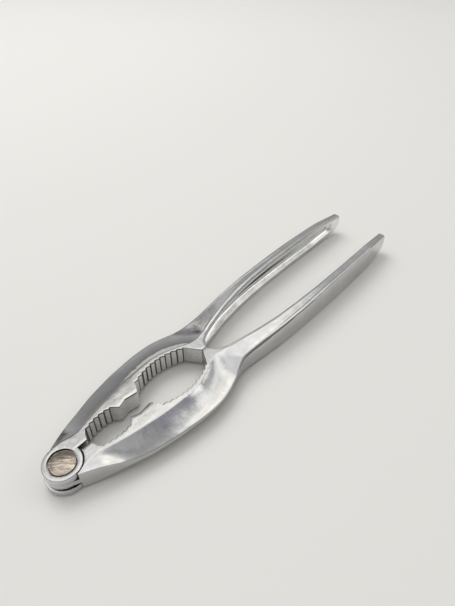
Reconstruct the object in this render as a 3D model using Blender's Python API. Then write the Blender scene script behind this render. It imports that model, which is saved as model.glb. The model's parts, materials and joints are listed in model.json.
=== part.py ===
"""Hand nutcracker: two cast levers hinged at one end by a rivet.

+X runs from the pivot to the handle ends, +Y towards the forked lever, +Z up.
The origin is on the pivot axis, in the flat face of the rivet's tail.
Every length below is in millimetres; meshes are scaled to metres when they are made.
"""

from math import cos, pi, radians, sin, sqrt

import bmesh
import bpy
import numpy as np
from mathutils import Matrix

NAME = "nutcracker"
METRES = 0.001

# Overall
LENGTH = 165.0            # pivot axis to the handle ends
JAW_HALF = 3.85           # half the thickness of the jaws and the knuckle
GAP = 0.3                 # clearance between neighbouring pieces
TAIL_PROUD = 0.6          # how far the rivet's tail stands below the lower lug
MIDDLE = JAW_HALF + TAIL_PROUD    # height of the levers' middle plane
CUTTER_REACH = 9.0        # half height of the cutters that pass right through

# Knuckle
KNUCKLE_RADIUS = 6.1
LOWER_LUG_RADIUS = 6.5
TONGUE_TOP = 1.15         # the tongue's faces, about the middle plane
TONGUE_BOTTOM = -0.85
LOWER_LUG_TOP = -1.65     # the cast slot is wider below the tongue
HEEL_START = -1.5         # where the lever's outer wall leaves the knuckle's circle
SHOULDER_START = 0.8      # where the tongue lever's shoulders begin
ROUND_STEPS = 64

# Rivet
SHANK_RADIUS = 2.5
HEAD_RADIUS = 4.25
SEAT_DEPTH = 1.3          # depth of the recess that each rivet head sits in
HEAD_PROUD = 0.15
DOME_HEIGHT = 0.55
TAIL_FLAT_RADIUS = 3.6

# Jaws, as distance along the lever and distance from the closing plane
NOTCH_HALF = 0.7
SMALL_BAY = dict(first=11.4, last=21.5, teeth=5, middle=17.6, depth=5.6, radius=15.0)
LARGE_BAY = dict(first=33.6, last=55.3, teeth=10, middle=43.5, depth=8.95, radius=22.5)
TOOTH_DEPTH = 0.55
TOOTH_LEAN = 0.68         # share of the pitch taken by a tooth's long side
NOTCH_WALL = [(4.0, NOTCH_HALF), (9.5, NOTCH_HALF), (10.3, 2.7)]
HUMP = [(23.7, 2.7), (26.7, 3.75), (31.2, 3.05), (31.9, 3.4)]
BLOCK_START = 58.9        # where the large bay's flat end reaches the closing plane
BLOCK_END = 61.3          # where the handle's inner edge leaves the closing plane

# Lever outline and heights, as (distance along the lever, value)
OUTER_EDGE = [(-4, 4.6), (0, 6.2), (3, 7.8), (8, 10.0), (13, 12.6), (20, 15.4), (30, 17.5), (42, 18.8),
              (50, 18.6), (56, 17.1), (61, 15.0), (66, 13.0), (70, 13.1), (85, 14.4), (100, 15.1),
              (125, 15.2), (148, 14.5), (175, 12.6)]
EDGE_HALF = [(3, 3.7), (8, 3.1), (13, 1.5), (18, 0.8), (25, 0.65), (56, 0.65), (60, 1.0), (62, 1.7),
             (66, 3.6), (70, 4.0), (80, 4.7), (95, 5.4), (115, 5.65), (135, 5.6), (150, 5.2), (165, 3.6)]
RIDGE = [(-4, 4.4), (0, 5.9), (3, 6.1), (6, 5.3), (8, 5.05), (10, 5.25), (15, 6.8), (20, 7.9),
         (30, 9.5), (42, 10.4), (48, 9.8), (54, 7.5), (58, 5.6), (61, 4.9), (64, 5.3), (70, 7.1),
         (80, 9.5), (90, 11.2), (100, 12.0), (115, 12.55), (135, 12.6), (165, 11.7)]
INNER_EDGE = [(BLOCK_END, 0.15), (61.7, 1.5), (62.5, 2.7), (64, 3.8), (66, 4.75), (70, 5.95), (80, 8.35),
              (90, 9.95), (100, 10.85), (112, 11.35), (130, 11.5), (148, 11.3), (165, 10.6)]
LIP_DROP = 0.15           # the lip's height below the outer edge
BEVEL_LEAST = 0.25        # the bevel's least width
DISH = 0.06               # sag of the bevel's middle, as a share of its width
EDGE_CHAMFER = [(55, 0.12), (70, 0.6), (165, 0.5)]
END_TOP_RADIUS = 1.0
END_BOTTOM_RADIUS = 3.2
FULL_HEIGHT_END = 100.0   # beyond it the lip may be lower than the jaws

# Pocket along the inner side of the handle
POCKET_START = 62.4
POCKET_END = 158.5
POCKET_CORNER = 0.5       # chamfer of the pocket's inner corners, and its largest share of the depth
POCKET_CORNER_SHARE = 0.4
POCKET_DEPTH = [(62, 0.3), (64, 0.9), (68, 1.7), (76, 2.5), (90, 2.6), (112, 2.2), (150, 1.9), (157, 1.7),
                (158.5, 0.9)]
POCKET_HALF = [(62, 0.8), (64, 1.4), (68, 1.9), (76, 2.4), (88, 3.1), (112, 3.4), (145, 3.3), (158.5, 1.7)]


def blended(points, spread):
    """A curve through the points whose corners are rounded over about the spread."""
    step = 0.1
    grid = np.arange(-30.0, 200.0, step)
    values = np.interp(grid, [p[0] for p in points], [p[1] for p in points])
    reach = int(3 * spread / step)
    weights = np.exp(-0.5 * (np.arange(-reach, reach + 1) * step / spread) ** 2)
    values = np.convolve(np.pad(values, reach, mode="edge"), weights / weights.sum(), mode="valid")
    return lambda x: float(np.interp(x, grid, values))


outer_edge = blended(OUTER_EDGE, 2.0)
edge_half = blended(EDGE_HALF, 1.0)
ridge = blended(RIDGE, 1.0)
inner_curve = blended(INNER_EDGE, 0.3)
edge_chamfer = blended(EDGE_CHAMFER, 2.0)
pocket_depth = blended(POCKET_DEPTH, 0.5)
pocket_half = blended(POCKET_HALF, 1.0)


def inner_edge(x):
    """Distance of the inner side from the closing plane: flat in the jaws, curved in the handle."""
    return GAP / 2 if x <= BLOCK_END else inner_curve(x)


def face_half(x):
    """Half height of the flat face beside the inner side."""
    lip = edge_half(x) - LIP_DROP
    return max(JAW_HALF, lip) if x < FULL_HEIGHT_END else lip


def end_rounding(x, radius):
    """How much the rounded handle end takes off the half height."""
    past = max(0.0, x - (LENGTH - radius))
    return radius - sqrt(max(0.0, radius * radius - past * past))


def lever_stations():
    """Places along the lever where its section is set."""
    jaw = [HEEL_START, 0, 1.5, 3, 4.5, 6, 7.5, 9, 11, 13, 15, 17.5, 20, 23, 26, 29, 32, 35, 38, 41, 44, 47, 50]
    root = [52, 54, 56, 57.5, 59, 60.3, BLOCK_END, 61.7, 62.2, 62.8, 63.6, 64.5, 65.5, 66.7, 68, 70, 72.5]
    grip = list(range(75, 161, 5))
    end = [LENGTH - back for back in (3.2, 2.4, 1.7, 1.0, 0.5, 0.15, 0.0)]
    return jaw + root + grip + end


def lever_section(x):
    """Half of the lever's section, from the inner side to the outer edge, as (y, z)."""
    outer = outer_edge(x)
    crest = min(ridge(x), outer - BEVEL_LEAST)
    face = face_half(x)
    edge = edge_half(x)
    cut = edge_chamfer(x)
    dish = DISH * (outer - crest)
    middle = ((crest + outer) / 2, (face + edge) / 2 - dish)
    return [(inner_edge(x), face), (crest, face), middle, (outer - cut, edge), (outer, edge - cut)]


def lever_ring(x):
    """The lever's whole closed section at x, top side first."""
    half = lever_section(x)
    top = [(y, z - end_rounding(x, END_TOP_RADIUS)) for y, z in half]
    bottom = [(y, end_rounding(x, END_BOTTOM_RADIUS) - z) for y, z in reversed(half)]
    return [(x, y, z) for y, z in top + bottom]


def pocket_ring(x):
    """Section of the pocket's cutter: open inwards, with chamfered inner corners."""
    reach = inner_edge(x) + pocket_depth(x)
    half = pocket_half(x)
    corner = min(POCKET_CORNER, POCKET_CORNER_SHARE * pocket_depth(x))
    outline = [(inner_edge(x) - 1.5, half), (reach - corner, half), (reach, half - corner)]
    return [(x, y, z) for y, z in outline] + [(x, y, -z) for y, z in reversed(outline)]


def toothed(first, last, teeth, middle, depth, radius):
    """A bay's curved wall, cut into teeth, as (x, y) points."""
    def wall(x):
        return depth - (x - middle) ** 2 / (2 * radius)

    pitch = (last - first) / teeth
    points = []
    for i in range(teeth):
        root = first + i * pitch
        tip = root + TOOTH_LEAN * pitch
        points += [(root, wall(root)), (tip, wall(tip) - TOOTH_DEPTH)]
    return points + [(last, wall(last))]


def jaw_opening():
    """Outline of the notch, the two bays and the hump between them."""
    wall = NOTCH_WALL + toothed(**SMALL_BAY) + HUMP + toothed(**LARGE_BAY)
    return wall + [(BLOCK_START, GAP / 2), (BLOCK_START, -2.0), (NOTCH_WALL[0][0], -2.0)]


def make_material(name, color, roughness):
    material = bpy.data.materials.new(name)
    material.use_nodes = True
    shader = material.node_tree.nodes["Principled BSDF"]
    shader.inputs["Base Color"].default_value = (*color, 1.0)
    shader.inputs["Metallic"].default_value = 1.0
    shader.inputs["Roughness"].default_value = roughness
    return material


def make_object(name, bm, collection, material=None):
    """Turn millimetre geometry about the middle plane into an object in metres."""
    bmesh.ops.recalc_face_normals(bm, faces=bm.faces)
    bmesh.ops.transform(bm, matrix=Matrix.Translation((0, 0, MIDDLE)), verts=bm.verts)
    bmesh.ops.scale(bm, vec=(METRES, METRES, METRES), verts=bm.verts)
    mesh = bpy.data.meshes.new(name)
    bm.to_mesh(mesh)
    bm.free()
    piece = bpy.data.objects.new(name, mesh)
    collection.objects.link(piece)
    if material:
        mesh.materials.append(material)
        mesh.shade_smooth()
        mesh.set_sharp_from_angle(angle=radians(25))
    else:
        piece.hide_render = True
        piece.display_type = "WIRE"
    return piece


def loft(rings, side):
    """Skin between sections that each have the same number of points."""
    bm = bmesh.new()
    rows = [[bm.verts.new((x, side * y, z)) for x, y, z in ring] for ring in rings]
    for before, after in zip(rows, rows[1:]):
        for i in range(len(before)):
            j = (i + 1) % len(before)
            bm.faces.new((before[i], before[j], after[j], after[i]))
    bm.faces.new(rows[0])
    bm.faces.new(rows[-1])
    return bm


def plate(outline, side, low, high):
    """A flat outline pulled up between two heights."""
    bm = bmesh.new()
    base = bm.faces.new([bm.verts.new((x, side * y, low)) for x, y in outline])
    lifted = bmesh.ops.extrude_face_region(bm, geom=[base])["geom"]
    top = [item for item in lifted if isinstance(item, bmesh.types.BMVert)]
    bmesh.ops.translate(bm, vec=(0, 0, high - low), verts=top)
    return bm


def disc(radius, low, high):
    """A round plate on the pivot axis."""
    bm = bmesh.new()
    place = Matrix.Translation((0, 0, (low + high) / 2))
    bmesh.ops.create_cone(bm, cap_ends=True, segments=ROUND_STEPS, radius1=radius, radius2=radius,
                          depth=high - low, matrix=place)
    return bm


def combine(piece, other, operation):
    modifier = piece.modifiers.new(f"{operation.lower()} {other.name}", "BOOLEAN")
    modifier.operation = operation
    modifier.object = other


def make_lever(name, side, material, parts, tools):
    """The jaw and handle of one lever, with its knuckle still a plain full disc."""
    lever = make_object(name, loft([lever_ring(x) for x in lever_stations()], side), parts, material)
    jaws = plate(jaw_opening(), side, -CUTTER_REACH, CUTTER_REACH)
    combine(lever, make_object(f"{name} jaw cutter", jaws, tools), "DIFFERENCE")
    places = [POCKET_START, 63.4, 64.5, 66, 68, 71] + list(range(75, 151, 5)) + [154, 157, POCKET_END]
    pocket = loft([pocket_ring(x) for x in places], side)
    combine(lever, make_object(f"{name} pocket cutter", pocket, tools), "DIFFERENCE")
    knuckle = disc(KNUCKLE_RADIUS, -JAW_HALF, JAW_HALF)
    combine(lever, make_object(f"{name} knuckle", knuckle, tools), "UNION")
    return lever


def make_fork_lever(material, parts, tools):
    """The lever with two lugs, which carries the rivet."""
    lever = make_lever("fork_lever", 1, material, parts, tools)
    lug = disc(LOWER_LUG_RADIUS, -JAW_HALF, LOWER_LUG_TOP)
    combine(lever, make_object("lower lug", lug, tools), "UNION")
    slot = disc(KNUCKLE_RADIUS + GAP, LOWER_LUG_TOP, TONGUE_TOP + GAP)
    combine(lever, make_object("slot cutter", slot, tools), "DIFFERENCE")
    bore = disc(SHANK_RADIUS + GAP, -CUTTER_REACH, CUTTER_REACH)
    combine(lever, make_object("fork bore cutter", bore, tools), "DIFFERENCE")
    seat_floor = JAW_HALF - SEAT_DEPTH
    for label, low, high in (("upper", seat_floor, CUTTER_REACH), ("lower", -CUTTER_REACH, -seat_floor)):
        seat = disc(HEAD_RADIUS + GAP, low, high)
        combine(lever, make_object(f"{label} seat cutter", seat, tools), "DIFFERENCE")


def make_tongue_lever(material, parts, tools):
    """The lever whose single tongue turns between the fork's lugs."""
    lever = make_lever("tongue_lever", -1, material, parts, tools)
    back, near, far = -2 * KNUCKLE_RADIUS, KNUCKLE_RADIUS / 2, 2 * KNUCKLE_RADIUS
    behind_shoulder = [(back, near), (SHOULDER_START, near), (SHOULDER_START, far), (back, far)]
    lugs = (("upper", KNUCKLE_RADIUS, TONGUE_TOP, CUTTER_REACH),
            ("lower", LOWER_LUG_RADIUS, -CUTTER_REACH, TONGUE_BOTTOM))
    for label, radius, low, high in lugs:
        clearance = disc(radius + GAP, low, high)
        combine(lever, make_object(f"{label} lug clearance", clearance, tools), "DIFFERENCE")
        heel = plate(behind_shoulder, -1, low, high)
        combine(lever, make_object(f"{label} heel cutter", heel, tools), "DIFFERENCE")
    bore = disc(SHANK_RADIUS + GAP, -CUTTER_REACH, CUTTER_REACH)
    combine(lever, make_object("tongue bore cutter", bore, tools), "DIFFERENCE")


def make_rivet(material, parts):
    """A solid rivet: domed head above, flat tail below, turned about the pivot axis."""
    rim = JAW_HALF + HEAD_PROUD
    under = JAW_HALF - SEAT_DEPTH + GAP
    dome = [(HEAD_RADIUS * sin(a), rim + DOME_HEIGHT * cos(a)) for a in np.linspace(0, pi / 2, 9)]
    body = [(HEAD_RADIUS, under), (SHANK_RADIUS, under), (SHANK_RADIUS, -under), (HEAD_RADIUS, -under)]
    tail = [(HEAD_RADIUS, -JAW_HALF), (TAIL_FLAT_RADIUS, -MIDDLE), (0, -MIDDLE)]
    bm = bmesh.new()
    profile = [bm.verts.new((r, 0, z)) for r, z in dome + body + tail]
    edges = [bm.edges.new(pair) for pair in zip(profile, profile[1:])]
    bmesh.ops.spin(bm, geom=profile + edges, cent=(0, 0, 0), axis=(0, 0, 1), angle=2 * pi,
                   steps=ROUND_STEPS, use_merge=True)
    bmesh.ops.remove_doubles(bm, verts=bm.verts, dist=0.01)
    make_object("pivot_rivet", bm, parts, material)


def main():
    for item in list(bpy.data.objects):
        bpy.data.objects.remove(item)
    parts = bpy.data.collections.new(NAME)
    tools = bpy.data.collections.new(f"{NAME} cutters")
    for collection in (parts, tools):
        bpy.context.scene.collection.children.link(collection)
    chrome = make_material("bright chrome", (0.78, 0.78, 0.77), 0.12)
    nickel = make_material("brushed nickel", (0.62, 0.56, 0.50), 0.32)
    make_fork_lever(chrome, parts, tools)
    make_tongue_lever(chrome, parts, tools)
    make_rivet(nickel, parts)


main()
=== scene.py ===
"""Looks of the hand nutcracker: two chromed cast levers and a brushed rivet on a pale floor.

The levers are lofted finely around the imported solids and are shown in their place.
Shapes are worked out in millimetres about the levers' middle plane, then scaled to metres.
"""

import json
from math import acos, asin, atan2, cos, pi, radians, sin, sqrt

import bmesh
import bpy
import numpy as np
from mathutils import Matrix, Vector


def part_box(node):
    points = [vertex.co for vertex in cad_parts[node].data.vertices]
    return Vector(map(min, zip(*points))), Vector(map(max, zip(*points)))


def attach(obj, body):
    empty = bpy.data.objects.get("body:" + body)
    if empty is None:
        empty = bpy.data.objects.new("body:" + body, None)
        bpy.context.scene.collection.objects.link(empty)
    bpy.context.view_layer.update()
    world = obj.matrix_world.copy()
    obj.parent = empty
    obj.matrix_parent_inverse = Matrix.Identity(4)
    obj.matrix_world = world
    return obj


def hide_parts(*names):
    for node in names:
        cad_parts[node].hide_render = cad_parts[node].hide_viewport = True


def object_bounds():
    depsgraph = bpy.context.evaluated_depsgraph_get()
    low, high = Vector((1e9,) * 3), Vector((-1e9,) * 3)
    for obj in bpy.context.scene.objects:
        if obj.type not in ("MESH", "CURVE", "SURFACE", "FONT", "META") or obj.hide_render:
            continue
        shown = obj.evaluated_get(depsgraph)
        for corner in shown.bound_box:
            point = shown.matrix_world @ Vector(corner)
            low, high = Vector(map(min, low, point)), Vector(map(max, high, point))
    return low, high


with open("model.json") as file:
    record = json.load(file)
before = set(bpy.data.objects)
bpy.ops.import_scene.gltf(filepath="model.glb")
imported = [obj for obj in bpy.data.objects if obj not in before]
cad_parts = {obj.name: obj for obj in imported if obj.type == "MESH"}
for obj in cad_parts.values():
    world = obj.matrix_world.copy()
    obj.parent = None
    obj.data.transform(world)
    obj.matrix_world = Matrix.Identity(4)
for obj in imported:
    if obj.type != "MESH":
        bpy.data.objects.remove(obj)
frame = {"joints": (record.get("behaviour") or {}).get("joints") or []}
cad_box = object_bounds()

METRES = 0.001            # one millimetre

# Places in the plated levers' list of materials
POLISHED, CAST, PAINTED_SHADE, POCKET = range(4)

# From the frame
MIDDLE = frame["joints"][0]["pos_m"][2] / METRES
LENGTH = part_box("fork_lever")[1].x / METRES
HEAD_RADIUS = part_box("pivot_rivet")[1].x / METRES

# Knuckle
JAW_HALF = 3.85
KNUCKLE_RADIUS = 6.1
LOWER_LUG_RADIUS = 6.5
TONGUE_TOP = 1.15
TONGUE_BOTTOM = -0.85
TONGUE_IN = 0.1           # how much smaller the tongue's radius is than the upper lug's
LOWER_LUG_TOP = -1.65
RUNNING_GAP = 0.3
HEEL_START = -1.5
SHOULDER_START = 0.8
RIM_FILLET = 0.35         # rounding of the lugs' outer rims
SMALL_FILLET = 0.12       # rounding of the other worked edges
CUTTER_REACH = 9.0        # half length of the cutter that goes right through
CUTTER_PROUD = 1.0        # how far a seat's cutter stands over the face that it cuts
HAIR = 0.003              # keeps the faces of joined solids from coinciding
WELD = 1e-7               # metres within which the carved mesh's points are merged
ROUND_STEPS = 128         # points round a turned solid
FILLET_STEPS = 5          # points over a small fillet
LEVER_CREASE = radians(28)
RIVET_CREASE = radians(35)
UPRIGHT = 0.5             # a face whose normal's Z is under this is a wall

# Rivet
SHANK_RADIUS = 2.5
SEAT_DEPTH = 1.3
DOME_HEIGHT = 0.8
DOME_STEPS = 14
HEAD_ROUND = 0.5          # rounding of the head's edge
HEAD_ROUND_STEPS = 6
TAIL_FLAT_RADIUS = 3.6
TAIL_ROUND, TAIL_RISE = 0.1, 0.08     # broken edge of the tail's flat, outwards and upwards

# Jaws, as distance along the lever and distance from the closing plane
CLOSING_HALF = 0.06       # half the hairline that stays between the closed levers
NOTCH_HALF = 0.7
SMALL_BAY = dict(first=11.4, last=21.5, teeth=5, middle=17.6, depth=5.6, radius=15.0)
LARGE_BAY = dict(first=33.6, last=55.3, teeth=10, middle=43.5, depth=8.95, radius=22.5)
TOOTH_DEPTH = 0.55
TOOTH_LEAN = 0.68         # where in its pitch a tooth's tip lies
NOTCH_START = 4.0
NOTCH_WALL = [(NOTCH_START, NOTCH_HALF), (9.5, NOTCH_HALF), (10.3, 2.7)]
HUMP = [(23.7, 2.7), (26.7, 3.75), (31.2, 3.05), (31.9, 3.4)]
BLOCK_START = 58.9
BLOCK_END = 61.3
BROKEN_CORNER = 0.05      # how far the wall's corners are smoothed along the lever
CURVE_START = BLOCK_END - 0.3         # from here the inner side follows its smooth curve

# Smooth curves: spacing of their values along the lever, and where they begin and end
CURVE_STEP, CURVE_RANGE = 0.05, (-30.0, 200.0)

# Lever outline and heights, as (distance along the lever, value): EDGE_HALF is the half height at the
# outer edge, and RIDGE is where the flat face ends and the bevel starts
OUTER_EDGE = [(-4, 4.6), (0, 6.2), (3, 7.8), (8, 10.0), (13, 12.6), (20, 15.4), (30, 17.5), (42, 18.8),
              (50, 18.6), (56, 17.1), (61, 15.0), (66, 13.05), (70, 13.3), (85, 14.65), (100, 15.35),
              (125, 15.4), (148, 14.7), (175, 12.8)]
EDGE_HALF = [(3, 3.7), (8, 3.1), (13, 1.5), (18, 0.8), (25, 0.65), (56, 0.65), (60, 1.0), (62, 1.7),
             (66, 3.6), (70, 4.0), (80, 4.7), (95, 5.4), (115, 5.65), (135, 5.6), (150, 5.2), (165, 3.6)]
RIDGE = [(-4, 4.4), (0, 5.9), (3, 6.1), (6, 5.3), (8, 5.05), (10, 5.25), (15, 6.8), (20, 7.9),
         (30, 9.5), (42, 10.4), (48, 9.8), (54, 7.5), (58, 5.6), (61, 4.9), (64, 5.3), (70, 7.1),
         (80, 9.5), (90, 11.2), (100, 12.0), (115, 12.55), (135, 12.6), (165, 11.7)]
INNER_EDGE = [(BLOCK_END, CLOSING_HALF), (61.7, 1.5), (62.5, 2.7), (64, 3.8), (66, 4.75), (70, 5.95),
              (80, 8.35), (90, 9.95), (100, 10.85), (112, 11.35), (130, 11.5), (148, 11.3), (165, 10.6)]
# The flat face's rise over EDGE_HALF, the outer edge's drop under it, and the face's lean inwards
FACE_RISE = [(60, 0.0), (66, 0.3), (75, 0.3), (85, 0.15), (100, 0.12), (112, 0.05), (120, 0.0), (165, 0.0)]
EDGE_DROP = [(60, 0.0), (72, 0.15), (100, 0.13), (115, 0.05), (165, 0.05)]
STRIP_LEAN = [(60, 0.0), (74, 0.07), (165, 0.07)]
FULL_HEIGHT_END = 100.0   # up to here the flat face is at least as high as the jaws
BEVEL_LEAST = 0.5         # least width of the bevel outside the ridge
# The bevel's hollow over its width, the half width of the ridge's rounding, and the height of its bead
DISH = [(10, 0.02), (28, 0.03), (40, 0.07), (55, 0.07), (64, 0.0), (85, 0.0), (95, 0.04), (105, 0.04),
        (115, 0.0), (165, 0.0)]
RIDGE_BLEND = [(0, 0.3), (8, 0.4), (14, 0.5), (50, 0.5), (60, 0.25), (75, 0.25), (90, 0.3), (165, 0.3)]
RIDGE_BEAD = [(58, 0.0), (66, 0.06), (74, 0.08), (120, 0.07), (165, 0.06)]
# Outer edge: its rounding, the height of the land under it, and the depth of the groove beside it
EDGE_ROUND = [(10, 0.2), (20, 0.3), (46, 0.3), (54, 0.35), (66, 0.5), (85, 0.6), (100, 0.8), (120, 1.2),
              (140, 1.0), (165, 0.7)]
EDGE_LAND = [(57, 0.0), (62, 0.4), (66, 0.8), (85, 1.0), (120, 0.9), (165, 0.6)]
EDGE_GROOVE = [(66, 0.0), (74, 0.04), (90, 0.06), (120, 0.05), (150, 0.04), (165, 0.02)]
GROOVE_IN = 0.3           # middle of the shallow groove, inwards from the edge's rounding
GROOVE_HALF = 0.4
LAND_SLOPE = 0.45         # how far the land under the outer edge leans in over its height
LAND_LEAST = 0.3          # a lower land fades into the edge's rounding
WALL_OUT = 0.25           # how far the wall under the land stands outside the outline
ROUND_REACH = 0.7         # largest share of a full land's height that the edge's rounding takes
FOOT_BEND = 0.15          # length of wall that bends into the land's foot
BOTTOM_ROUND = 0.2        # rounding of the lower outer edge
INNER_ROUND = [(60, 0.2), (66, 0.6), (165, 0.5)]
INNER_TALL = 1.6          # height of the inner edge's rounding over its width
INNER_TUCK = 0.35         # where that rounding bends, as a share of its width
FILLET_MOST = 0.45        # largest share of the flat face that the inner edge's rounding takes
BLEND_MOST = 0.3          # largest share of the face or the bevel that the ridge's blend takes
ROUND_MOST = 0.5          # largest share of the bevel or the height that the outer rounding takes
SECTION_POINTS = dict(inner=6, face=5, ridge=9, bevel=15, edge=7, foot=4)
END_TOP_RADIUS = 1.0
END_BOTTOM_RADIUS = 3.2

# Pocket along the inner side of the handle
POCKET_DEPTH = [(62.2, 0), (62.6, 0.4), (64, 0.9), (68, 1.7), (76, 2.5), (90, 2.6), (112, 2.2),
                (150, 1.9), (157.3, 1.7), (158.7, 1.2), (159.2, 0)]
POCKET_HALF = [(62, 0.8), (64, 1.4), (68, 1.9), (76, 2.4), (88, 3.1), (112, 3.4), (145, 3.3),
               (157, 2.2), (159, 1.5), (165, 1.0)]
POCKET_SQUARENESS = 7     # power of the superellipse across the pocket
POCKET_STEPS = 14
POCKET_LIP = 0.3          # rounding of the pocket's mouth
POCKET_DRAFT = 0.45       # how fast the pocket narrows with its depth
POCKET_ROOM = 0.8         # share of the inner side's height that the pocket and its lips may take
# Painted shade in the pockets: a dark line along the back, set by these heights and places
POCKET_SHADE = (-1.5, 0.9)            # heights from the middle plane between which the shade varies
POCKET_SHADE_ENDS = (60, 136)         # places along the lever between which it varies

# Dark lines: a dark hairline under the handles' outer edge, and painted shade under the inner side's edges
# and beside the teeth's roots
HAIRLINE_START, HAIRLINE_ENDS = 63.0, (80.0, 93.0, 106.0)    # the hairline under the handles' outer edge
SHADE_LINE_WIDTH = 0.15        # width of the line under the inner side's edges
ROOT_SHADE = 0.14        # share of a tooth's pitch that is dark beside its root

# Sections along the lever: usual spacing, then (start, end, spacing) where the shape turns fast
STATION_SPACING = 0.7
CLOSE_STATIONS = [(BLOCK_END - 3, BLOCK_END + 9, 0.2), (157, 160, 0.15)]
CORNER_STATIONS = (-0.12, -0.05, 0, 0.05, 0.12)
STATION_LEAST = 0.03      # least distance between two sections

# Camera: its place from the pivot in the jaws' top plane, its turns in degrees, and its lens
CAMERA_PLACE = (-24.8, -88.2, 135.3)
CAMERA_YAW, CAMERA_PITCH, CAMERA_ROLL = 42.16, 42.90, -0.38
FOCAL_LENGTH, SENSOR_WIDTH = 30.24, 36

# Floor: the object rests on the rivet's tail and on the handles' undersides
REST_ALONG = 118.0
FLOOR_DROP = 0.00002      # metres that keep the floor off the rivet's flat tail
FLOOR_SIZE = 4.0          # metres from the middle to a side
FLOOR_LINE = (0.74, 0.67, 0)          # the way the camera looks along the floor
FLOOR_NEAR, FLOOR_FAR = -1.0, 1.5     # metres along that line
# Painted light on the floor: lighter in a band across the view, falling to dark towards its near and far ends
FLOOR_SHADES = [(0.0, (0.3, 0.295, 0.285)), (0.3, (0.75, 0.735, 0.705)), (0.4, (0.765, 0.75, 0.72)),
                (0.6, (0.80, 0.785, 0.755)), (0.7, (0.79, 0.775, 0.745)), (1.0, (0.3, 0.295, 0.285))]

# Key light: azimuth and elevation in degrees, distance and side in metres, power in watts
KEY_AZIMUTH, KEY_ELEVATION = 80, 55
KEY_DISTANCE, KEY_SIDE, KEY_POWER = 0.9, 0.5, 3.0

# Brightness of the surroundings by the sine of the height above the horizon, and the least of it
SKY = [(0.0, 0.2), (0.1, 0.3), (0.34, 0.4), (0.5, 0.5), (0.6, 0.56), (0.66, 0.62), (0.72, 0.85),
       (0.77, 1.02), (0.82, 1.2), (0.87, 1.25), (1.0, 1.0)]
SKY_LEAST = 0.12

# Soft patches of the surroundings: azimuth, elevation, inner and outer angle, light added
PATCHES = [
    (-80, 62, 8, 28, (-0.52, -0.52, -0.52)),
    (-56, 60, 2, 12, (-0.3, -0.3, -0.25)),
    (-30, 73, 4, 12, (-0.25, -0.25, -0.25)),
    (12, 62, 4, 14, (0.34, 0.3, 0.2)),
    (-25, 56, 3, 11, (0.25, 0.25, 0.22)),
    (-8, 47, 2, 8, (0.4, 0.4, 0.37)),
    (-44, 41, 5, 12, (1.15, 1.15, 1.1)),
    (-24, 30, 5, 11, (0.9, 0.9, 0.86)),
    (58, 54, 3, 12, (0.12, 0.1, 0.04)),
    (67, 46, 3, 12, (-0.24, -0.24, -0.23)),
    (65, 68, 3, 11, (0.15, 0.15, 0.15)),
    (77, 46, 6, 18, (-0.3, -0.3, -0.3)),
    (-110, 25, 15, 60, (-0.2, -0.2, -0.2)),
]
CLOUD_START, CLOUD_FULL = 0.3, 0.6    # sine of the height where the clouds begin, and where they are full


def blended(points, spread):
    """A curve through the points whose corners are rounded over about the spread."""
    grid = np.arange(*CURVE_RANGE, CURVE_STEP)
    values = np.interp(grid, [p[0] for p in points], [p[1] for p in points])
    reach = int(3 * spread / CURVE_STEP)
    weights = np.exp(-0.5 * (np.arange(-reach, reach + 1) * CURVE_STEP / spread) ** 2)
    values = np.convolve(np.pad(values, reach, mode="edge"), weights / weights.sum(), mode="valid")
    return lambda x: float(np.interp(x, grid, values))


outer_edge = blended(OUTER_EDGE, 2.2)
edge_half = blended(EDGE_HALF, 1.3)
ridge = blended(RIDGE, 1.3)
inner_curve = blended(INNER_EDGE, 0.35)
ridge_blend = blended(RIDGE_BLEND, 2.0)
ridge_bead = blended(RIDGE_BEAD, 2.0)
edge_round = blended(EDGE_ROUND, 2.0)
edge_land = blended(EDGE_LAND, 1.5)
edge_groove = blended(EDGE_GROOVE, 2.0)
inner_round = blended(INNER_ROUND, 2.0)
face_rise = blended(FACE_RISE, 2.0)
edge_drop = blended(EDGE_DROP, 2.0)
strip_lean = blended(STRIP_LEAN, 2.0)
dish = blended(DISH, 2.0)
pocket_depth = blended(POCKET_DEPTH, 0.15)
pocket_half = blended(POCKET_HALF, 1.2)


def toothed(first, last, teeth, middle, depth, radius):
    """A bay's curved wall, cut into teeth, as (x, y) points."""
    def wall(x):
        """Distance of the uncut wall from the closing plane."""
        return depth - (x - middle) ** 2 / (2 * radius)

    pitch = (last - first) / teeth
    points = []
    for i in range(teeth):
        root = first + i * pitch
        tip = root + TOOTH_LEAN * pitch
        points += [(root, wall(root)), (tip, wall(tip) - TOOTH_DEPTH)]
    return points + [(last, wall(last))]


JAW_WALL = ([(NOTCH_START - BROKEN_CORNER, CLOSING_HALF)] + NOTCH_WALL + toothed(**SMALL_BAY) + HUMP
            + toothed(**LARGE_BAY) + [(BLOCK_START, CLOSING_HALF)])


def inner_edge(x):
    """Distance of the inner side from the closing plane, with the corners of the wall just broken."""
    if x > CURVE_START:
        return inner_curve(x)
    along = [p[0] for p in JAW_WALL]
    away = [p[1] for p in JAW_WALL]
    before, here, after = np.interp([x - BROKEN_CORNER, x, x + BROKEN_CORNER], along, away)
    return float(before + 2 * here + after) / 4


def face_half(x):
    """Half height of the flat face beside the inner side."""
    lip = edge_half(x) + face_rise(x)
    return max(JAW_HALF, lip) if x < FULL_HEIGHT_END else lip


def end_rounding(x, radius):
    """How much the rounded handle end takes off the half height."""
    past = max(0.0, x - (LENGTH - radius))
    return radius - sqrt(max(0.0, radius * radius - past * past))


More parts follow.
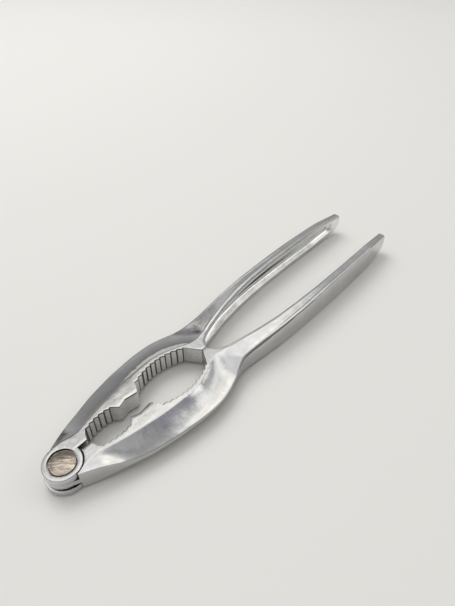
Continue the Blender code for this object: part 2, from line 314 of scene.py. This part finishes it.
def lever_stations():
    """Places along the lever where its section is set, closest where the shape turns fast."""
    places = list(np.arange(HEEL_START, LENGTH, STATION_SPACING))
    for start, end, spacing in CLOSE_STATIONS:
        places += list(np.arange(start, end, spacing))
    for corner, _ in JAW_WALL:
        places += [corner + shift for shift in CORNER_STATIONS]
    places += [LENGTH - END_BOTTOM_RADIUS * (1 - sin(a)) for a in np.linspace(0, pi / 2, 10)]
    places += [LENGTH - END_TOP_RADIUS * (1 - sin(a)) for a in np.linspace(0, pi / 2, 7)]
    kept = []
    for place in sorted(places):
        if HEEL_START <= place <= LENGTH and (not kept or place - kept[-1] > STATION_LEAST):
            kept.append(float(place))
    kept[-1] = LENGTH
    return kept


def curve_between(start, corner, end, count):
    """Points of the curve that leaves start towards the corner and reaches end."""
    points = []
    for t in np.linspace(0, 1, count):
        a, b, c = (1 - t) ** 2, 2 * t * (1 - t), t * t
        points.append((a * start[0] + b * corner[0] + c * end[0], a * start[1] + b * corner[1] + c * end[1]))
    return points


def half_section(x, upper):
    """The lever's upper or lower side at x, from the inner wall to the outer wall, as (y, z) going up.

    From inside to outside: a rounded inner edge, the flat face, the ridge, the bevel down to the outer
    edge, the rounding there, and on the upper side the narrow land that leans out to the wall.
    """
    inner, outer = inner_edge(x), outer_edge(x)
    crest = min(ridge(x), outer - BEVEL_LEAST)
    width = outer - crest
    face, edge = face_half(x), edge_half(x) - edge_drop(x)
    fillet = min(inner_round(x), FILLET_MOST * (crest - inner))
    blend = min(ridge_blend(x), BLEND_MOST * (crest - inner - fillet), BLEND_MOST * width)
    cut = min(edge_round(x) if upper else BOTTOM_ROUND, ROUND_MOST * width, ROUND_MOST * edge)
    slope = (face - edge) / width
    land = edge_land(x) if upper else 0.0
    sunk = max(0.0, 1 - land / LAND_LEAST)
    fall = land + sunk * cut
    wall = outer + WALL_OUT * edge_land(x)
    rim = wall - LAND_SLOPE * land
    groove = edge_groove(x) if upper else 0.0

    def height(y):
        """Height over the middle plane of the face, ridge and bevel."""
        past = y - crest
        if past <= -blend:
            run = 0.0
        elif past < blend:
            run = (past + blend) ** 2 / (4 * blend)
        else:
            run = past
        share = run / width
        lean = strip_lean(x) * max(0.0, -past - blend)
        bead = ridge_bead(x) * max(0.0, 1 - (past / blend) ** 2) ** 2
        hollow = groove * max(0.0, 1 - ((y - rim + cut + GROOVE_IN) / GROOVE_HALF) ** 2) ** 2
        return face + bead - hollow - lean - slope * run - 4 * dish(x) * width * share * (1 - share)

    count = SECTION_POINTS
    lip = height(inner + fillet)
    points = curve_between((inner, lip - INNER_TALL * fillet), (inner + INNER_TUCK * fillet, lip),
                           (inner + fillet, lip), count["inner"])
    for start, end, part in ((inner + fillet, crest - blend, "face"), (crest - blend, crest + blend, "ridge"),
                             (crest + blend, rim - cut, "bevel")):
        points += [(y, height(y)) for y in np.linspace(start, end, count[part])[1:]]
    start = points[-1]
    steep = (points[-2][1] - start[1]) / (start[0] - points[-2][0])
    corner = (rim, start[1] - steep * cut)
    reach = min(cut / fall, ROUND_REACH + (1 - ROUND_REACH) * sunk)
    foot = (wall, corner[1] - fall)
    below = (rim + LAND_SLOPE * land * reach, corner[1] - fall * reach)
    points += curve_between(start, corner, below, count["edge"])[1:]
    points += curve_between(below, foot, (wall, foot[1] - FOOT_BEND), count["foot"])[1:]
    return points


def inner_side(x, bottom, top):
    """The inner wall at x from bottom to top, with the pocket's hollow in the handle, as (y, z)."""
    inner = inner_edge(x)
    depth = pocket_depth(x)
    middle, reach = (top + bottom) / 2, (top - bottom) / 2
    room = POCKET_ROOM * (top - bottom) / 2
    edge = min(POCKET_LIP, 0.25 * room)
    lip = min(edge, 0.3 * depth)
    half = min(pocket_half(x), room - edge)
    mouth = [(inner, half + edge), (inner + 0.3 * lip, half + 0.3 * edge), (inner + lip, half)]
    power = 2 / POCKET_SQUARENESS
    hollow = []
    for angle in np.linspace(0, pi, POCKET_STEPS + 1)[1:-1]:
        share = np.sign(cos(angle)) * abs(cos(angle)) ** power
        deep = depth * sin(angle) ** power
        hollow.append((inner + deep, (half - POCKET_DRAFT * deep) * share))
    # Between here and the inner side's edges the faces take painted shade
    line = max(0.9 * (top - bottom) / 2, reach - SHADE_LINE_WIDTH)
    downwards = [(inner, line)] + mouth + hollow + [(y, -z) for y, z in reversed(mouth)] + [(inner, -line)]
    return [(y, middle + z) for y, z in reversed(downwards)]


def lever_ring(x):
    """The lever's closed section at x, and how many of its points are outside and on the upper side."""
    top = [(y, z - end_rounding(x, END_TOP_RADIUS)) for y, z in half_section(x, True)]
    bottom = [(y, end_rounding(x, END_BOTTOM_RADIUS) - z) for y, z in reversed(half_section(x, False))]
    outside = top + [(top[-1][0], (top[-1][1] + bottom[0][1]) / 2)] + bottom
    inside = inner_side(x, bottom[-1][1], top[0][1])
    return outside + inside, len(outside), len(top)


# Materials

def node(tree, kind, inputs=None, **settings):
    """Add a shader node, set its properties, and fill its inputs with values or links."""
    made = tree.nodes.new(kind)
    for key, value in settings.items():
        setattr(made, key, value)
    for key, value in (inputs or {}).items():
        if isinstance(value, bpy.types.NodeSocket):
            tree.links.new(value, made.inputs[key])
        else:
            made.inputs[key].default_value = value
    return made


def new_material(name):
    """A material with its node tree and its shader."""
    material = bpy.data.materials.new(name)
    material.use_nodes = True
    tree = material.node_tree
    return material, tree, tree.nodes["Principled BSDF"]


def ramp(tree, factor, stops):
    """A colour ramp on a factor: stops are (position, grey or colour)."""
    made = node(tree, "ShaderNodeValToRGB", {"Fac": factor})
    elements = made.color_ramp.elements
    while len(elements) < len(stops):
        elements.new(0.5)
    for element, (position, colour) in zip(elements, stops):
        element.position = position
        shade = colour if isinstance(colour, tuple) else (colour, colour, colour)
        element.color = (*shade, 1.0)
    return made.outputs["Color"]


def noise(tree, vector, scale, detail=3.0, roughness=0.5, distortion=0.0):
    """The strength of a noise texture."""
    made = node(tree, "ShaderNodeTexNoise", {"Vector": vector, "Scale": scale, "Detail": detail,
                                             "Roughness": roughness, "Distortion": distortion})
    return made.outputs["Fac"]


def stretched(tree, turn, scale):
    """Object coordinates turned about Z and then stretched, for streaks."""
    place = node(tree, "ShaderNodeTexCoord").outputs["Object"]
    level = node(tree, "ShaderNodeMapping", {"Vector": place, "Rotation": (0, 0, radians(turn))})
    drawn = node(tree, "ShaderNodeMapping", {"Vector": level.outputs["Vector"], "Scale": scale})
    return drawn.outputs["Vector"]


def mixed(tree, operation, first, second):
    """Two colours or vectors, joined by a vector operation."""
    made = node(tree, "ShaderNodeVectorMath", {0: first, 1: second}, operation=operation)
    return made.outputs["Vector"]


def share_between(tree, value, start, end, **settings):
    """How far the value is on its way from start to end, from 0 to 1."""
    made = node(tree, "ShaderNodeMapRange", {"Value": value, "From Min": start, "From Max": end}, **settings)
    return made.outputs["Result"]


def bump(tree, height, strength, distance, before=None):
    """A normal bent by the height, over another bump if there is one before."""
    inputs = {"Height": height, "Strength": strength, "Distance": distance}
    if before is not None:
        inputs["Normal"] = before
    return node(tree, "ShaderNodeBump", inputs).outputs["Normal"]


def dress(tree, shader, colour, roughness, normal=None, metallic=1.0):
    """Link the varying parts of a metal to its shader."""
    tree.links.new(colour, shader.inputs["Base Color"])
    tree.links.new(roughness, shader.inputs["Roughness"])
    if normal is not None:
        tree.links.new(normal, shader.inputs["Normal"])
    shader.inputs["Metallic"].default_value = metallic


def polished_chrome():
    """Bright plating on a hand-polished casting: faint ripples, cloudy haze and hairline scratches."""
    material, tree, shader = new_material("polished_chrome")
    place = node(tree, "ShaderNodeTexCoord").outputs["Object"]
    haze = noise(tree, place, 180, 4)
    colour = ramp(tree, haze, [(0.3, (0.56, 0.56, 0.565)), (0.7, (0.63, 0.63, 0.625))])
    roughness = ramp(tree, noise(tree, place, 420, 5), [(0.3, 0.07), (0.7, 0.15)])
    ripples = bump(tree, noise(tree, place, 150, 3), 0.4, 0.0004)
    scratches = noise(tree, stretched(tree, 0, (60, 2600, 900)), 1, 2)
    dress(tree, shader, colour, roughness, bump(tree, scratches, 0.05, 0.00002, ripples))
    return material


def cast_chrome():
    """Plating on walls that the polishing wheel doesn't reach: duller and slightly grainy."""
    material, tree, shader = new_material("cast_chrome")
    place = node(tree, "ShaderNodeTexCoord").outputs["Object"]
    grain = noise(tree, place, 900, 6, 0.6)
    colour = ramp(tree, grain, [(0.3, (0.50, 0.505, 0.49)), (0.7, (0.63, 0.635, 0.62))])
    roughness = ramp(tree, grain, [(0.3, 0.14), (0.7, 0.26)])
    dress(tree, shader, colour, roughness, bump(tree, grain, 0.25, 0.00006))
    return material


def pocket_chrome():
    """Plating in the handles' pockets: paler than the other plating, which paints extra light into them, a
    little cloudy, and with a soft dark line of painted shade along the back.
    """
    material, tree, shader = new_material("pocket_chrome")
    place = node(tree, "ShaderNodeTexCoord").outputs["Object"]
    haze = noise(tree, place, 240, 4)
    axes = node(tree, "ShaderNodeSeparateXYZ", {"Vector": place}).outputs
    low, high = [(MIDDLE + z) * METRES for z in POCKET_SHADE]
    near, far = [x * METRES for x in POCKET_SHADE_ENDS]
    # Painted shade: a dark line along the back of the pocket, fading out towards the pocket's ends
    line = ramp(tree, share_between(tree, axes["Z"], low, high),
                [(0.1, 1.0), (0.32, 0.0), (0.6, 0.0), (1.0, 1.0)])
    ends = ramp(tree, share_between(tree, axes["X"], near, far),
                [(0.0, 0.2), (0.1, 0.4), (0.2, 0.5), (0.35, 0.0), (0.65, 0.0), (1.0, 1.0)])
    # The paler colour paints extra light into the pockets
    pale = ramp(tree, haze, [(0.3, (0.74, 0.74, 0.73)), (0.7, (0.84, 0.84, 0.83))])
    dark = mixed(tree, "MULTIPLY", pale, mixed(tree, "MAXIMUM", line, ends))
    colour = mixed(tree, "MAXIMUM", dark, (0.08, 0.08, 0.08))
    roughness = ramp(tree, haze, [(0.3, 0.1), (0.7, 0.22)])
    dress(tree, shader, colour, roughness, bump(tree, noise(tree, place, 300, 3), 0.3, 0.0002))
    return material


def painted_shade_chrome():
    """Near-black plating that paints shade at the teeth's roots, along the jaw walls' and inner sides' edges
    and behind the tongue lever's shoulders; it also draws a dark hairline under the handles' outer edge.
    """
    material, tree, shader = new_material("painted_shade_chrome")
    place = node(tree, "ShaderNodeTexCoord").outputs["Object"]
    grain = noise(tree, place, 700, 5, 0.6)
    colour = ramp(tree, grain, [(0.3, (0.05, 0.05, 0.048)), (0.7, (0.14, 0.14, 0.135))])
    dress(tree, shader, colour, ramp(tree, grain, [(0.3, 0.3), (0.7, 0.5)]), metallic=0.8)
    return material


def brushed_nickel():
    """Warm rivet metal, smeared in streaks by the heading tool."""
    material, tree, shader = new_material("brushed_nickel")
    broad = noise(tree, stretched(tree, 48, (180, 900, 900)), 1, 3, 0.55, 0.6)
    fine = noise(tree, stretched(tree, 48, (500, 6000, 3000)), 1, 3)
    shades = [(0.36, (0.30, 0.255, 0.21)), (0.5, (0.46, 0.40, 0.335)), (0.62, (0.74, 0.66, 0.56))]
    waves = bump(tree, broad, 0.5, 0.0003)
    dress(tree, shader, ramp(tree, broad, shades), ramp(tree, fine, [(0.3, 0.16), (0.7, 0.3)]),
          bump(tree, fine, 0.3, 0.00003, waves))
    return material


# Solids

def place_solid(name, bm, materials):
    """Turn millimetre geometry about the middle plane into an object in metres."""
    bmesh.ops.transform(bm, matrix=Matrix.Translation((0, 0, MIDDLE)), verts=bm.verts)
    bmesh.ops.scale(bm, vec=(METRES, METRES, METRES), verts=bm.verts)
    bmesh.ops.recalc_face_normals(bm, faces=bm.faces)
    mesh = bpy.data.meshes.new(name)
    bm.to_mesh(mesh)
    bm.free()
    for material in materials:
        mesh.materials.append(material)
    piece = bpy.data.objects.new(name, mesh)
    bpy.context.scene.collection.objects.link(piece)
    return piece


def in_root_shade(x):
    """Whether x lies on the steep side of a tooth or close to its root, where the jaws take painted shade."""
    for bay in (SMALL_BAY, LARGE_BAY):
        if bay["first"] < x < bay["last"]:
            share = (x - bay["first"]) / (bay["last"] - bay["first"]) * bay["teeth"] % 1
            return share > TOOTH_LEAN or share < ROOT_SHADE
    return False


def hairline_steps(x):
    """How many steps under the outer edge are dark at x: the hairline thins along the handle."""
    return sum(HAIRLINE_START < x < end for end in HAIRLINE_ENDS)


def face_finish(x, middle, i, count, outside, above):
    """Which material a face gets: it follows point i of a section at x, and lies about the middle.

    The count is the section's points, of which the first are outside, and of those the first above.
    """
    hairline = above - SECTION_POINTS["foot"]
    # Jaw walls: near-black plating paints shade on their top and bottom edges and beside each tooth's root
    if i >= outside - 1 and x < BLOCK_END:
        edge_shade = i in (outside - 1, count - 1) and x > NOTCH_START
        return PAINTED_SHADE if edge_shade or in_root_shade(middle) else CAST
    # Near-black plating paints shade along the inner side's top edge, and draws a dark hairline a few steps
    # under the outer edge
    if i == count - 1 or hairline <= i < hairline + hairline_steps(x):
        return PAINTED_SHADE
    return POCKET if i >= outside else POLISHED


def lofted_lever(name, side, materials):
    """A lever's whole casting, lofted through its sections; the side is 1 for +Y and -1 for -Y."""
    bm = bmesh.new()
    rows = []
    for x in lever_stations():
        ring, outside, above = lever_ring(x)
        rows.append([bm.verts.new((x, side * y, z)) for y, z in ring])
    for before, after in zip(rows, rows[1:]):
        x, count = before[0].co.x, len(before)
        for i in range(count):
            j = (i + 1) % count
            face = bm.faces.new((before[i], before[j], after[j], after[i]))
            face.material_index = face_finish(x, (x + after[0].co.x) / 2, i, count, outside, above)
    bm.faces.new(rows[0])
    bm.faces.new(rows[-1])
    return place_solid(name, bm, materials)


def turned(name, profile, materials, finish=POLISHED):
    """A solid of revolution about the pivot axis; the profile is (radius, z) from axis to axis."""
    bm = bmesh.new()
    rows = []
    for k in range(ROUND_STEPS):
        angle = 2 * pi * k / ROUND_STEPS
        rows.append([bm.verts.new((r * cos(angle), r * sin(angle), z)) for r, z in profile[1:-1]])
    first = bm.verts.new((0, 0, profile[0][1]))
    last = bm.verts.new((0, 0, profile[-1][1]))
    for k in range(ROUND_STEPS):
        here, there = rows[k], rows[(k + 1) % ROUND_STEPS]
        bm.faces.new((first, here[0], there[0]))
        bm.faces.new((last, there[-1], here[-1]))
        for i in range(len(here) - 1):
            bm.faces.new((here[i], here[i + 1], there[i + 1], there[i]))
    for face in bm.faces:
        face.material_index = finish
    return place_solid(name, bm, materials)


def quarter(radius, z, size, upper):
    """Rounded outer corner of a turned profile, from the top down or, when not upper, round the foot."""
    points = []
    for a in np.linspace(0, pi / 2, FILLET_STEPS):
        if upper:
            points.append((radius - size + size * sin(a), z - size + size * cos(a)))
        else:
            points.append((radius - size + size * cos(a), z + size - size * sin(a)))
    return points


def lug_profile(radius, low, high, upper_fillet, lower_fillet):
    """A round plate with rounded rims, a hair thinner than asked so that no faces coincide."""
    low, high = low + HAIR, high - HAIR
    rim = quarter(radius, high, upper_fillet, True) + quarter(radius, low, lower_fillet, False)
    return [(0, high)] + rim + [(0, low)]


def flared_cutter(radius, low, high, flare):
    """A round cutter whose sides open out near z = high, which rounds the rim that it leaves."""
    rim = [(radius + flare * (1 - cos(a)), high - flare + flare * sin(a))
           for a in np.linspace(0, pi / 2, FILLET_STEPS)]
    top = high + CUTTER_PROUD
    return [(0, low), (radius, low)] + rim + [(radius + flare, top), (0, top)]


def mirrored(profile):
    """The same turned profile upside down."""
    return [(r, -z) for r, z in profile]


def bore_cutter(materials):
    """Cutter for the hole that the rivet's shank goes through."""
    radius = SHANK_RADIUS + RUNNING_GAP
    profile = [(0, CUTTER_REACH), (radius, CUTTER_REACH), (radius, -CUTTER_REACH), (0, -CUTTER_REACH)]
    return turned("bore", profile, materials, CAST)


def shoulder_clearance(name, radius, floor, top, materials):
    """Cutter for the room that a lug turns in: a disc, and everything behind the lever's shoulder."""
    step = (top - floor) / abs(top - floor)
    levels = [(floor, 0.0)]
    for a in np.linspace(0, pi / 2, FILLET_STEPS):
        levels.append((top - step * SMALL_FILLET * (1 - sin(a)), SMALL_FILLET * (1 - cos(a))))
    levels.append((top + step, SMALL_FILLET))
    bm = bmesh.new()
    rows = []
    for z, grow in levels:
        size, shoulder = radius + grow, SHOULDER_START + grow
        near, far = -KNUCKLE_RADIUS / 2, -2 * KNUCKLE_RADIUS
        start, end = -acos(shoulder / size), pi + asin(-near / size)
        outline = [(size * cos(a), size * sin(a)) for a in np.linspace(start, end, ROUND_STEPS)]
        outline += [(far, near), (far, far), (shoulder, far)]
        rows.append([bm.verts.new((x, y, z)) for x, y in outline])
    for below, above in zip(rows, rows[1:]):
        for i in range(len(below)):
            j = (i + 1) % len(below)
            bm.faces.new((below[i], below[j], above[j], above[i]))
    bm.faces.new(rows[0])
    bm.faces.new(rows[-1])
    # The cut faces take the near-black plating, which paints shade into the gap behind the shoulder
    for face in bm.faces:
        face.material_index = PAINTED_SHADE
    return place_solid(name, bm, materials)


def crisp_jaws(mesh):
    """Shade each facet of the toothed jaw walls flat, so that the teeth stay sharp."""
    for face in mesh.polygons:
        wall = face.material_index != POLISHED and abs(face.normal.z) < UPRIGHT
        if wall and face.center.x < BLOCK_END * METRES:
            face.use_smooth = False


def carve(piece, steps):
    """Apply boolean steps, given as (operation, object), and remove the helper objects."""
    for operation, other in steps:
        modifier = piece.modifiers.new(other.name, "BOOLEAN")
        modifier.operation = operation
        modifier.object = other
        modifier.solver = "EXACT"
    bpy.context.view_layer.update()
    evaluated = piece.evaluated_get(bpy.context.evaluated_depsgraph_get())
    mesh = bpy.data.meshes.new_from_object(evaluated)
    piece.modifiers.clear()
    piece.data = mesh
    mesh.name = piece.name
    for _, other in steps:
        bpy.data.objects.remove(other)
    bm = bmesh.new()
    bm.from_mesh(mesh)
    bmesh.ops.remove_doubles(bm, verts=bm.verts, dist=WELD)
    bm.to_mesh(mesh)
    bm.free()
    mesh.shade_smooth()
    mesh.set_sharp_from_angle(angle=LEVER_CREASE)
    crisp_jaws(mesh)


def make_fork_lever(materials):
    """The lever on the +Y side, whose two lugs take the tongue between them."""
    lever = lofted_lever("forged_fork_lever", 1, materials)
    slot = [(0, TONGUE_TOP + RUNNING_GAP), (KNUCKLE_RADIUS + RUNNING_GAP, TONGUE_TOP + RUNNING_GAP),
            (KNUCKLE_RADIUS + RUNNING_GAP, LOWER_LUG_TOP), (0, LOWER_LUG_TOP)]
    upper_lug = lug_profile(KNUCKLE_RADIUS, TONGUE_TOP + RUNNING_GAP, JAW_HALF, RIM_FILLET, SMALL_FILLET)
    lower_lug = lug_profile(LOWER_LUG_RADIUS, -JAW_HALF, LOWER_LUG_TOP, SMALL_FILLET, RIM_FILLET)
    seat = flared_cutter(HEAD_RADIUS + RUNNING_GAP, JAW_HALF - SEAT_DEPTH, JAW_HALF, SMALL_FILLET)
    carve(lever, [
        ("DIFFERENCE", turned("slot", slot, materials, CAST)),
        ("UNION", turned("upper_lug", upper_lug, materials)),
        ("UNION", turned("lower_lug", lower_lug, materials)),
        ("DIFFERENCE", bore_cutter(materials)),
        ("DIFFERENCE", turned("upper_seat", seat, materials, CAST)),
        ("DIFFERENCE", turned("lower_seat", mirrored(seat), materials, CAST)),
    ])
    return lever


def make_tongue_lever(materials):
    """The lever on the -Y side, whose tongue turns between the lugs."""
    lever = lofted_lever("forged_tongue_lever", -1, materials)
    upper, lower = KNUCKLE_RADIUS + RUNNING_GAP, LOWER_LUG_RADIUS + RUNNING_GAP
    over = shoulder_clearance("over_tongue", upper, TONGUE_TOP, JAW_HALF, materials)
    under = shoulder_clearance("under_tongue", lower, TONGUE_BOTTOM, -JAW_HALF, materials)
    tongue = lug_profile(KNUCKLE_RADIUS - TONGUE_IN, TONGUE_BOTTOM, TONGUE_TOP, SMALL_FILLET, SMALL_FILLET)
    carve(lever, [
        ("DIFFERENCE", over),
        ("DIFFERENCE", under),
        ("UNION", turned("tongue", tongue, materials)),
        ("DIFFERENCE", bore_cutter(materials)),
    ])
    return lever


def make_rivet(material):
    """The rivet: a domed head with a rolled edge, the shank, and an upset tail with a flat end."""
    under = JAW_HALF - SEAT_DEPTH + RUNNING_GAP
    inside = HEAD_RADIUS - HEAD_ROUND
    dome = [(inside * t, JAW_HALF + DOME_HEIGHT * (1 - t * t)) for t in np.linspace(0, 1, DOME_STEPS)]
    roll = [(inside + HEAD_ROUND * sin(a), JAW_HALF - HEAD_ROUND + HEAD_ROUND * cos(a))
            for a in np.linspace(0, pi / 2, HEAD_ROUND_STEPS)[1:]]
    body = [(HEAD_RADIUS, under), (SHANK_RADIUS, under), (SHANK_RADIUS, -under), (HEAD_RADIUS, -under)]
    tail = [(HEAD_RADIUS, -JAW_HALF), (TAIL_FLAT_RADIUS + TAIL_ROUND, TAIL_RISE - MIDDLE),
            (TAIL_FLAT_RADIUS - TAIL_ROUND, -MIDDLE), (0, -MIDDLE)]
    rivet = turned("headed_rivet", dome + roll + body + tail, [material])
    rivet.data.shade_smooth()
    rivet.data.set_sharp_from_angle(angle=RIVET_CREASE)
    return rivet


# Stage

def aim(direction, roll=0.0):
    """Rotation that looks along the direction with the image level, then rolled."""
    forward = Vector(direction).normalized()
    right = forward.cross(Vector((0, 0, 1))).normalized()
    up = right.cross(forward)
    level = Matrix((right, up, -forward)).transposed()
    return (level @ Matrix.Rotation(roll, 3, "Z")).to_4x4()


def make_camera():
    """The camera at the photograph's place and angle."""
    camera = bpy.data.objects.new("camera", bpy.data.cameras.new("camera"))
    bpy.context.scene.collection.objects.link(camera)
    along, across, up = CAMERA_PLACE
    place = Vector((along, across, up + (MIDDLE + JAW_HALF))) * METRES
    yaw, pitch = radians(CAMERA_YAW), radians(CAMERA_PITCH)
    forward = (cos(pitch) * cos(yaw), cos(pitch) * sin(yaw), -sin(pitch))
    camera.matrix_world = Matrix.Translation(place) @ aim(forward, radians(CAMERA_ROLL))
    camera.data.lens = FOCAL_LENGTH
    camera.data.sensor_width = SENSOR_WIDTH
    camera.data.clip_start = 0.005
    camera.data.clip_end = 50
    bpy.context.scene.camera = camera


def make_floor():
    """A pale floor with painted light, lighter in a band across the view and dark towards its near and far
    ends, tilted so that it touches both the rivet's tail and the handles.
    """
    material, tree, shader = new_material("pale_floor")
    place = node(tree, "ShaderNodeTexCoord").outputs["Object"]
    along = node(tree, "ShaderNodeVectorMath", {0: place, 1: FLOOR_LINE}, operation="DOT_PRODUCT")
    # Painted light: the floor's brightness set by its place along the view
    tint = ramp(tree, share_between(tree, along.outputs["Value"], FLOOR_NEAR, FLOOR_FAR), FLOOR_SHADES)
    cloud = ramp(tree, noise(tree, place, 3, 2), [(0.3, 0.985), (0.7, 1.0)])
    tree.links.new(mixed(tree, "MULTIPLY", tint, cloud), shader.inputs["Base Color"])
    shader.inputs["Roughness"].default_value = 0.6
    bm = bmesh.new()
    bmesh.ops.create_grid(bm, x_segments=8, y_segments=8, size=FLOOR_SIZE)
    mesh = bpy.data.meshes.new("floor")
    bm.to_mesh(mesh)
    bm.free()
    mesh.materials.append(material)
    floor = bpy.data.objects.new("floor", mesh)
    lowest = cad_box[0].z
    floor.rotation_euler = (0, atan2(-lowest, REST_ALONG * METRES), 0)
    floor.location = (0, 0, -FLOOR_DROP)
    bpy.context.scene.collection.objects.link(floor)


def sky_direction(azimuth, elevation):
    """Unit direction of a place in the surroundings, from its angles in degrees."""
    a, e = radians(azimuth), radians(elevation)
    return (cos(e) * cos(a), cos(e) * sin(a), sin(e))


def make_key_light():
    """A soft light from behind, for the shadows; the reflections come from the surroundings."""
    light = bpy.data.lights.new("soft_key", "AREA")
    light.shape = "RECTANGLE"
    light.size, light.size_y = KEY_SIDE, KEY_SIDE
    light.energy = KEY_POWER
    item = bpy.data.objects.new("soft_key", light)
    item.visible_glossy = False
    toward = Vector(sky_direction(KEY_AZIMUTH, KEY_ELEVATION)).normalized()
    centre = Vector((LENGTH / 2 * METRES, 0, 0))
    item.matrix_world = Matrix.Translation(centre + toward * KEY_DISTANCE) @ aim(-toward)
    bpy.context.scene.collection.objects.link(item)


def make_world():
    """The room that the chrome reflects: brighter overhead, with soft patches and faint clouds."""
    world = bpy.data.worlds.new("studio")
    bpy.context.scene.world = world
    world.use_nodes = True
    tree = world.node_tree
    tree.nodes.clear()
    way = node(tree, "ShaderNodeTexCoord").outputs["Generated"]
    height = node(tree, "ShaderNodeSeparateXYZ", {"Vector": way}).outputs["Z"]
    light = ramp(tree, height, SKY)
    for azimuth, elevation, inner, outer, gain in PATCHES:
        toward = sky_direction(azimuth, elevation)
        along = node(tree, "ShaderNodeVectorMath", {0: way, 1: toward}, operation="DOT_PRODUCT")
        share = share_between(tree, along.outputs["Value"], cos(radians(outer)), cos(radians(inner)),
                              interpolation_type="SMOOTHSTEP")
        light = node(tree, "ShaderNodeVectorMath", {0: share, 1: gain, 2: light},
                     operation="MULTIPLY_ADD").outputs["Vector"]
    clouds = ramp(tree, noise(tree, way, 2.2, 3, 0.5, 0.4), [(0.35, 0.8), (0.65, 1.2)])
    above = share_between(tree, height, CLOUD_START, CLOUD_FULL)
    clouds = node(tree, "ShaderNodeMix", {0: above, 6: (1, 1, 1, 1), 7: clouds}, data_type="RGBA").outputs[2]
    light = mixed(tree, "MAXIMUM", mixed(tree, "MULTIPLY", light, clouds), (SKY_LEAST,) * 3)
    glow = node(tree, "ShaderNodeBackground", {"Color": light, "Strength": 1.0})
    node(tree, "ShaderNodeOutputWorld", {"Surface": glow.outputs["Background"]})


def main():
    """Make the three pieces, say what each one stands for, and set the stage."""
    plated = [polished_chrome(), cast_chrome(), painted_shade_chrome(), pocket_chrome()]
    fork = make_fork_lever(plated)
    tongue = make_tongue_lever(plated)
    rivet = make_rivet(brushed_nickel())
    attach(fork, "fork_side")
    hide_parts("fork_lever")
    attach(tongue, "tongue_side")
    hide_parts("tongue_lever")
    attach(rivet, "fork_side")
    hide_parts("pivot_rivet")
    make_floor()
    make_world()
    make_key_light()
    make_camera()
    bpy.context.scene.view_settings.view_transform = "Standard"


main()
